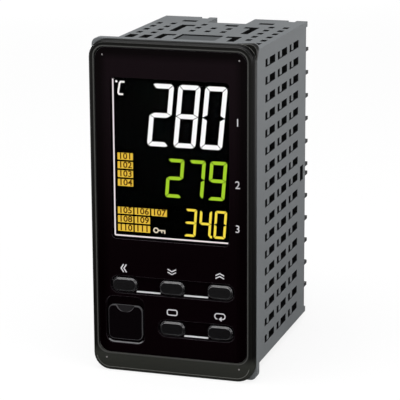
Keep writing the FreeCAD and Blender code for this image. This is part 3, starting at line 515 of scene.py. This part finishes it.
def rounded(x, z, width, height, radius, steps):
    """The outline of a rectangle with round corners, about a middle. It starts on the right, goes over the
    top and comes back along the bottom, with this many steps round each corner."""
    points = []
    for quarter, (side, up) in enumerate([(1, 1), (-1, 1), (-1, -1), (1, -1)]):
        for i in range(steps + 1):
            turn = math.pi / 2 * (quarter + i / steps)
            points.append((x + side * (width / 2 - radius) + radius * math.cos(turn),
                           z + up * (height / 2 - radius) + radius * math.sin(turn)))
    return points


SIGN_LIFT, SIGN_STEPS = 4.8, 4


def above(key):
    """The middle of the sign above a key."""
    x, z = key_middle(key)
    return x, z + SIGN_LIFT


signs = []

# Two chevrons to the left, for shift.
SHIFT_TIPS, SHIFT_REACH, SHIFT_HALF, SHIFT_LINE = (-1.05, -0.2), 0.75, 1.15, 0.34
x, z = above("shift_key")
for shift in SHIFT_TIPS:
    tip, back = x + shift, x + shift + SHIFT_REACH
    signs += strokes([(back, z + SHIFT_HALF), (tip, z), (back, z - SHIFT_HALF)], SHIFT_LINE)

# Two chevrons one over the other, for down and for up.
ARROW_LIFTS, ARROW_TIP, ARROW_REACH, ARROW_HALF, ARROW_LINE = (-0.42, 0.42), 0.3, 0.65, 1.25, 0.29
for key, way in (("down_key", -1), ("up_key", 1)):
    x, z = above(key)
    for lift in ARROW_LIFTS:
        tip = z + lift + way * ARROW_TIP
        back = tip - way * ARROW_REACH
        signs += strokes([(x - ARROW_HALF, back), (x, tip), (x + ARROW_HALF, back)], ARROW_LINE)

# A round-cornered box for level, and for mode a loop that is open below and ends in a barb.
BOX_SIZE, BOX_CORNER, BOX_LINE = (2.9, 1.55), 0.5, 0.3
signs += strokes(rounded(*above("level_key"), *BOX_SIZE, BOX_CORNER, SIGN_STEPS), BOX_LINE, closed=True)
LOOP_RISE, LOOP_SIZE, LOOP_CORNER, LOOP_LINE = 0.1, (3.0, 1.6), 0.75, 0.3
BARB_DROP, BARB_TIP, BARB_BACK, BARB_HALF, STEM_START = 0.7, 0.35, 0.5, 0.75, 0.35
x, z = above("mode_key")
loop = rounded(x, z + LOOP_RISE, *LOOP_SIZE, LOOP_CORNER, SIGN_STEPS)
low = z - BARB_DROP
signs += strokes([(x + STEM_START, low)] + loop[-SIGN_STEPS:] + loop[:3 * (SIGN_STEPS + 1)], LOOP_LINE)
signs.append([(x - BARB_TIP, low), (x + BARB_BACK, low + BARB_HALF), (x + BARB_BACK, low - BARB_HALF)])
slabs("key_signs", signs, ink_face, INK_DEPTH, ink)

PIP_RADIUS, PIP_INSET, LOW_PIP_INSET, PIP_DEPTH = 0.26, 4.2, 4.0, 0.05
pip_material = moulded("pip_grey", colour(120, 116, 116), 0.4)
pip_rows = ((fascia_face, bezel_high.z - PIP_INSET), (bezel_low.y, bezel_low.z + LOW_PIP_INSET))
for row, (front, height) in enumerate(pip_rows):
    pips = [disc(side * (bezel_high.x - PIP_INSET), height, PIP_RADIUS) for side in (-1, 1)]
    slabs("pips_%d" % row, pips, front - PIP_DEPTH, PIP_DEPTH, pip_material)


# Painted highlights of the bezel
# Thin light lines laid on the bezel's face along its sharp inner border and along the crease round its lower
# bar: painted highlights for the light that these edges catch.

HIGHLIGHT_PROUD, HIGHLIGHT_DEPTH, HIGHLIGHT_STEPS = 0.01, 0.05, 8


def crest(name, outline, width, tint, closed, specular):
    """A thin painted highlight line on the bezel's face."""
    material = moulded("painted_highlight_" + name.split("_")[-1], tint, 0.35, grain=0.3, depth=0.001, edge=0.01,
                       specular=specular)
    slabs(name, strokes(outline, width, closed), bezel_low.y - HIGHLIGHT_PROUD, HIGHLIGHT_DEPTH, material)


def within_bezel(low, high, inset, corner):
    """A round-cornered outline this far inside the bezel's sides, from low to high."""
    return rounded(0, (low + high) / 2, 2 * (bezel_high.x - inset), high - low, corner, HIGHLIGHT_STEPS)


def along_bottom(outline, left_out):
    """The lower half of a round-cornered outline, less this many points at each end."""
    return outline[len(outline) // 2 + left_out:len(outline) - left_out]


BORDER_INSET, BORDER_LOW, BORDER_CORNER, BORDER_LINE = 1.65, 5.45, 3.0, 0.34
border = within_bezel(BORDER_LOW, bezel_high.z - BORDER_INSET, BORDER_INSET, BORDER_CORNER)
crest("front_border", border, BORDER_LINE, colour(62, 62, 60), True, 0.3)
CREASE_INSET, CREASE_CORNER, CREASE_LINE = 1.2, 3.8, 0.16
crease = within_bezel(bezel_low.z + CREASE_INSET, bezel_high.z - CREASE_INSET, CREASE_INSET, CREASE_CORNER)
crest("lower_bar_crease", along_bottom(crease, 1), CREASE_LINE, colour(92, 92, 88), False, 0.5)


# Keys
# Five hard black caps in a satin finish, moulded and let into two sunk channels of the fascia. Behind them
# lies one soft rubber mat, with a dome under each key that gives its stroke.

# Painted highlight: a near-white line along the caps' edges, strongest along their tops.
dress(moulded("key_plastic", colour(6, 5, 7), 0.25, grain=0.2, depth=0.003, edge=0.2, specular=0.6,
              rim=colour(236, 234, 238), highlight_reach=4.0),
      "shift_key", "down_key", "up_key", "level_key", "mode_key")
dress(moulded("mat_rubber", colour(70, 72, 75), 0.8, specular=0.2), "key_mat")


# Setup port
# A gloss moulded cover that pulls off by the scoop at its top edge, over a cream socket for the setup lead.
# The boards inside are joined by headers in the same cream plastic.

# Painted: a highlight along the cover's edges, and paler grey light on faces as they turn from the front,
# most in the scoop.
dress(moulded("cover_plastic", colour(5, 2, 4), 0.16, grain=0.3, depth=0.001, edge=0.2, specular=0.14,
              rim=colour(104, 100, 104), sides=colour(72, 72, 74)), "port_cover")
dress(moulded("socket_cream", colour(205, 198, 176), 0.5), "port_socket", "power_header", "main_header")


# Painted highlights of the cut-outs
# Light strips along the lower edges of the sheet's cut-outs, between the keys and under the port cover:
# painted highlights for the light they catch from above.

EDGE_START, EDGE_DROP, EDGE_HEIGHT, EDGE_DEPTH, EDGE_SINK = 3.55, 2.0, 0.32, 0.5, 0.05
edges = []
for left_key, right_key in (("shift_key", "down_key"), ("down_key", "up_key"), ("level_key", "mode_key")):
    (left, middle), (right, _) = key_middle(left_key), key_middle(right_key)
    low = middle - EDGE_DROP
    edges.append(rectangle(left + EDGE_START, low, right - EDGE_START, low + EDGE_HEIGHT))
slabs("channel_edge_highlights", edges, fascia_face + EDGE_SINK, EDGE_DEPTH,
      moulded("painted_edge_highlight", colour(205, 205, 208), 0.25, grain=0.4, depth=0.002, edge=0.02))

PORT_WIDTH, PORT_HEIGHT, PORT_CORNER, PORT_STEPS = 11.4, 14.0, 2.2, 6
PORT_DROP, PORT_LINE, PORT_SINK = 0.85, 0.26, 0.03
cover_low, cover_high = [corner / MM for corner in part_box("port_cover")]
port = rounded((cover_low.x + cover_high.x) / 2, cover_low.z - PORT_DROP + PORT_HEIGHT / 2, PORT_WIDTH,
               PORT_HEIGHT, PORT_CORNER, PORT_STEPS)
port_highlight = moulded("port_edge_highlight", colour(120, 120, 122), 0.3, grain=0.4, depth=0.002, edge=0.02)
slabs("port_edge_highlight", strokes(along_bottom(port, PORT_STEPS // 2), PORT_LINE), fascia_face + PORT_SINK,
      EDGE_DEPTH, port_highlight)


# Terminals
# A black moulded block that closes the case's back, with pressed plates in nickel-plated brass, and
# zinc-plated screws with captive square washers. Each head has a slot and a shorter cross, for either driver.

# The bays lie within these places across and upwards from the middle, and behind this one along.
BAYS_ACROSS, BAYS_UPWARD, BAYS_ALONG = 19.0 * MM, 43.2 * MM, 30.5 * MM


def beside_bays(place):
    """Where the block is painted in shade: 1 on its sides, top and bottom, which lie behind the case's walls.
    """
    across, along, upward = place.split()
    outside = (abs(across) > BAYS_ACROSS) + (abs(upward - case_middle) > BAYS_UPWARD)
    return outside.clamped() * (along < BAYS_ALONG)


# Painted shade: the block's faces behind the case's walls are painted near-black.
dress(moulded("block_plastic", colour(38, 38, 40), 0.5, grain=0.25, depth=0.012,
              inside=(beside_bays, colour(7, 7, 8))), "terminal_block")

# Sizes in millimetres, and how far the dull patches and the streaks sway the gloss.
STREAK_SIZE, STREAK_LENGTH, PATCH_SIZE, METAL_EDGE, STREAK_DEPTH = 0.5, 6, 3.0, 0.1, 0.0006
STREAK_STRENGTH, PATCH_DARK, PATCH_SWAY, STREAK_SWAY = 0.3, 0.88, 0.2, 0.1


def plated(name, tint, roughness):
    """A plated metal with fine streaks and duller patches."""
    material, place = new_material(name)
    drawn_out = place.node("ShaderNodeMapping", {}, {"Vector": place, "Scale": (1, 1, STREAK_LENGTH)})
    streaks, patches = drawn_out.noise(STREAK_SIZE), place.noise(PATCH_SIZE)
    soft_edge = place.node("ShaderNodeBevel", {"samples": EDGE_SAMPLES}, {"Radius": METAL_EDGE * MM})
    bump = place.node("ShaderNodeBump", {}, {"Strength": STREAK_STRENGTH, "Distance": STREAK_DEPTH * MM,
                                            "Height": streaks, "Normal": soft_edge})
    gloss = roughness + (patches - 0.5) * PATCH_SWAY + (streaks - 0.5) * STREAK_SWAY
    surface(place, {"Base Color": patches.blend([part * PATCH_DARK for part in tint], tint), "Metallic": 1.0,
                    "Roughness": gloss, "Normal": bump})
    return material


dress(plated("nickel_plate", colour(205, 200, 188), 0.3), "terminal_plates")
zinc = plated("zinc_screw", colour(186, 188, 192), 0.32)
dress(zinc, "terminal_screws")

SAME_CORNER, COLUMN_DIGITS = 0.002, 5


def screw_places():
    """The middle across, the middle upwards, and the inner and outer end of each screw of the frame, in
    metres, up one column and then the other. Corners that edges join are one screw's."""
    shapes = bmesh.new()
    shapes.from_mesh(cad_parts["terminal_screws"].data)
    bmesh.ops.remove_doubles(shapes, verts=shapes.verts, dist=SAME_CORNER * MM)
    waiting, found = set(shapes.verts), []
    while waiting:
        reached, corners = [waiting.pop()], []
        while reached:
            corner = reached.pop()
            corners.append(corner.co.copy())
            near = {edge.other_vert(corner) for edge in corner.link_edges} & waiting
            waiting -= near
            reached += near
        across, along, upward = [(min(values), max(values)) for values in zip(*corners)]
        found.append((sum(across) / 2, sum(upward) / 2, *along))
    shapes.free()
    return sorted(found, key=lambda screw: (round(screw[0], COLUMN_DIGITS), screw[1]))


def turned(shapes, profile, sides):
    """A solid turned about the Y axis, from pairs of its radius and the place along, in millimetres."""
    turns = [2 * math.pi * i / sides for i in range(sides)]
    rings = [[shapes.verts.new((radius * math.cos(a) * MM, along * MM, radius * math.sin(a) * MM))
              for a in turns] for radius, along in profile]
    for first, second in zip(rings, rings[1:]):
        for i in range(sides):
            j = (i + 1) % sides
            shapes.faces.new((first[i], first[j], second[j], second[i]))
    shapes.faces.new(rings[0])
    shapes.faces.new(rings[-1])


def squared(shapes, across, along, upward):
    """A box between these pairs of places across, along and upwards, in millimetres."""
    for corner in bmesh.ops.create_cube(shapes, size=1.0)["verts"]:
        corner.co = Vector([low + (high - low) * (part + 0.5)
                            for part, (low, high) in zip(corner.co, (across, along, upward))]) * MM


def solid(name, make, *sizes):
    """An object of one solid, in the scene."""
    mesh, shapes = bpy.data.meshes.new(name), bmesh.new()
    make(shapes, *sizes)
    bmesh.ops.recalc_face_normals(shapes, faces=shapes.faces)
    shapes.to_mesh(mesh)
    shapes.free()
    piece = bpy.data.objects.new(name, mesh)
    bpy.context.scene.collection.objects.link(piece)
    return piece


# One head, with its washer's outer face at zero along: a cheese head with an eased rim, a slot and a cross.
HEAD_RADIUS, HEAD_HEIGHT, HEAD_SIDES = 2.6, 1.8, 32
HEAD_RIM = ((1.0, 0.0), (1.0, 0.7), (0.96, 0.86), (0.87, 0.96), (0.72, 1.0))
SLOT_HALF, SLOT_DEPTH, SLOT_REACH, CROSS_DEPTH, CROSS_REACH, CUT_CLEAR = 0.4, 0.8, 3.5, 1.0, 1.5, 1.0
head = solid("screw_head", turned, [(HEAD_RADIUS * out, HEAD_HEIGHT * rise) for out, rise in HEAD_RIM],
             HEAD_SIDES)
slot_cut = solid("slot", squared, (-SLOT_REACH, SLOT_REACH),
                 (HEAD_HEIGHT - SLOT_DEPTH, HEAD_HEIGHT + CUT_CLEAR), (-SLOT_HALF, SLOT_HALF))
cross_cut = solid("cross", squared, (-SLOT_HALF, SLOT_HALF),
                  (HEAD_HEIGHT - CROSS_DEPTH, HEAD_HEIGHT + CUT_CLEAR), (-CROSS_REACH, CROSS_REACH))
for cutter in (slot_cut, cross_cut):
    recess = head.modifiers.new("recess", "BOOLEAN")
    recess.operation, recess.object, recess.solver = "DIFFERENCE", cutter, "EXACT"
head_mesh = bpy.data.meshes.new_from_object(head.evaluated_get(bpy.context.evaluated_depsgraph_get()))
for piece in (head, slot_cut, cross_cut):
    bpy.data.objects.remove(piece)

# Every screw stands turned another way, as a fitter leaves them.
WASHER_HALF, WASHER_THICKNESS, SHANK_RADIUS, SHANK_SIDES, HEAD_TURN = 2.65, 0.6, 1.45, 20, 47
fine, screws = bpy.data.meshes.new("screws_fine"), bmesh.new()
for number, (x, z, inner, outer) in enumerate(screw_places()):
    screw, seat = bmesh.new(), outer - HEAD_HEIGHT * MM
    screw.from_mesh(head_mesh)
    screw.transform(Matrix.Rotation(math.radians(number * HEAD_TURN % 180), 4, "Y"))
    squared(screw, (-WASHER_HALF, WASHER_HALF), (-WASHER_THICKNESS, 0.0), (-WASHER_HALF, WASHER_HALF))
    turned(screw, [(SHANK_RADIUS, (inner - seat) / MM), (SHANK_RADIUS, -WASHER_THICKNESS)], SHANK_SIDES)
    screw.transform(Matrix.Translation((x, seat, z)))
    screw.to_mesh(fine)
    screw.free()
    screws.from_mesh(fine)
bmesh.ops.recalc_face_normals(screws, faces=screws.faces)
screws.to_mesh(fine)
screws.free()
fine.materials.clear()
fine.materials.append(zinc)
screw_set = bpy.data.objects.new("terminal_screws_fine", fine)
bpy.context.scene.collection.objects.link(screw_set)
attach(screw_set, "housing")
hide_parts("terminal_screws")


# Boards and what stands on them
# Green glass-epoxy boards; a ferrite transformer with a taped winding, two relays, two sleeved capacitors and
# a processor. They show only dimly through the vents.

TRACK_SCALE, TRACK_WIDTH, RESIST_GLOSS, RESIST_SWAY, RESIST_PATCH = 260.0, 0.03, 0.35, 0.1, 2.0
board, place = new_material("board_green")
tracks = place.node("ShaderNodeTexBrick", {}, {"Vector": place, "Scale": TRACK_SCALE,
                                               "Mortar Size": TRACK_WIDTH}, "Fac")
surface(place, {"Base Color": tracks.blend(colour(10, 42, 26), colour(18, 62, 36)),
                "Roughness": RESIST_GLOSS + place.noise(RESIST_PATCH) * RESIST_SWAY})
dress(board, "display_board", "terminal_board", "power_board", "main_board")
dress(moulded("ferrite_grey", colour(52, 52, 55), 0.55), "transformer_core")
dress(moulded("winding_tape", colour(206, 170, 62), 0.45, grain=0.5), "transformer_coil")
dress(moulded("relay_black", colour(26, 28, 32), 0.4), "control_relay", "alarm_relay")
dress(moulded("capacitor_sleeve", colour(30, 30, 48), 0.3), "input_capacitor", "output_capacitor")
dress(moulded("chip_epoxy", colour(24, 24, 25), 0.6), "processor")


# Camera, light and floor
# A long lens a little above and to the right, a wide soft light overhead, a fill from the front right, a low
# strip behind, and a plain white sweep.

# The camera looks down and to the left at a target, from a distance, both in metres.
YAW, PITCH, ROLL, DISTANCE = math.radians(17.65), math.radians(13.89), math.radians(-0.31), 0.558
target = Vector((-0.00099, -0.00325, 0.0446))
forward = Vector((-math.sin(YAW) * math.cos(PITCH), math.cos(YAW) * math.cos(PITCH), -math.sin(PITCH)))
right = Vector((math.cos(YAW), math.sin(YAW), 0))
up = right.cross(forward)
right, up = right * math.cos(ROLL) + up * math.sin(ROLL), up * math.cos(ROLL) - right * math.sin(ROLL)
camera = bpy.data.objects.new("camera", bpy.data.cameras.new("camera"))
camera.data.sensor_width, camera.data.lens, camera.data.clip_start = 36.0, 170.8, 0.01
turn = Matrix((right, up, -forward)).transposed().to_4x4()
camera.matrix_world = Matrix.Translation(target - forward * DISTANCE) @ turn
bpy.context.scene.collection.objects.link(camera)
bpy.context.scene.camera = camera
bpy.context.scene.view_settings.view_transform = "Standard"

LIGHT_AIM = Vector((0, 0, 0.05))


def soft_light(name, place, width, height, power):
    """A soft box aimed at the controller, in metres and watts."""
    lamp = bpy.data.lights.new(name, "AREA")
    lamp.shape, lamp.size, lamp.size_y, lamp.energy = "RECTANGLE", width, height, power
    light = bpy.data.objects.new(name, lamp)
    light.location = place
    light.rotation_euler = (LIGHT_AIM - Vector(place)).to_track_quat("-Z", "Y").to_euler()
    bpy.context.scene.collection.objects.link(light)


soft_light("overhead", (-0.05, -0.25, 0.8), width=0.8, height=0.6, power=6.0)
soft_light("right_fill", (0.8, -0.35, 0.35), width=0.5, height=0.5, power=2.6)
soft_light("rear_fill", (-0.4, 0.85, 0.05), width=0.9, height=0.09, power=3.2)

world = bpy.data.worlds.new("studio")
bpy.context.scene.world = world
world.use_nodes = True
world.node_tree.nodes.clear()
sky = Socket(world.node_tree)


def ray(tree, kind):
    """1 for rays of one kind."""
    return tree.node("ShaderNodeLightPath", output="Is %s Ray" % kind)


# The white room's strength as light, what the camera adds to it, and what gloss takes from it.
ROOM, SEEN, MIRRORED = 0.55, 0.45, 0.3
strength = ROOM + ray(sky, "Camera") * SEEN - ray(sky, "Glossy") * MIRRORED
background = sky.node("ShaderNodeBackground", {}, {"Color": (1, 1, 1, 1), "Strength": strength})
sky.node("ShaderNodeOutputWorld", {}, {"Surface": background})

# The floor's reflection is nearly black close to the controller and grows by the metre further out. To the
# camera it is white, less the shadow's share near the controller.
FLOOR_SIZE, FLOOR_DROP, PAPER = 8.0, 0.02, (0.85, 0.85, 0.85)
DARK_GROWTH, DARK_START, DARK_LEAST = 3.0, 0.45, 0.05
SHADOW_SHARE, SHADOW_FADE = 0.15, 0.4
bpy.ops.mesh.primitive_plane_add(size=FLOOR_SIZE, location=(0, 0, cad_box[0].z - FLOOR_DROP * MM))
floor = bpy.context.object
floor.name = "floor"
floor_material, place = new_material("floor_white")
glow = place.node("ShaderNodeEmission", {}, {"Color": (1, 1, 1, 1), "Strength": 1.0})
far = place.node("ShaderNodeVectorMath", {"operation": "LENGTH"}, {0: place}, "Value")
mirrored = (far * DARK_GROWTH - DARK_START).clamped() * (1 - DARK_LEAST) + DARK_LEAST
tone = (1.0 - ray(place, "Glossy") * (1.0 - mirrored)).blend((0.0, 0.0, 0.0), PAPER)
paper = place.node("ShaderNodeBsdfDiffuse", {}, {"Color": tone})
white = 1 - SHADOW_SHARE + (far * SHADOW_FADE).clamped() * SHADOW_SHARE
sweep = place.node("ShaderNodeMixShader", {}, {0: ray(place, "Camera") * white, 1: paper, 2: glow})
place.node("ShaderNodeOutputMaterial", {}, {"Surface": sweep})
floor.data.materials.append(floor_material)
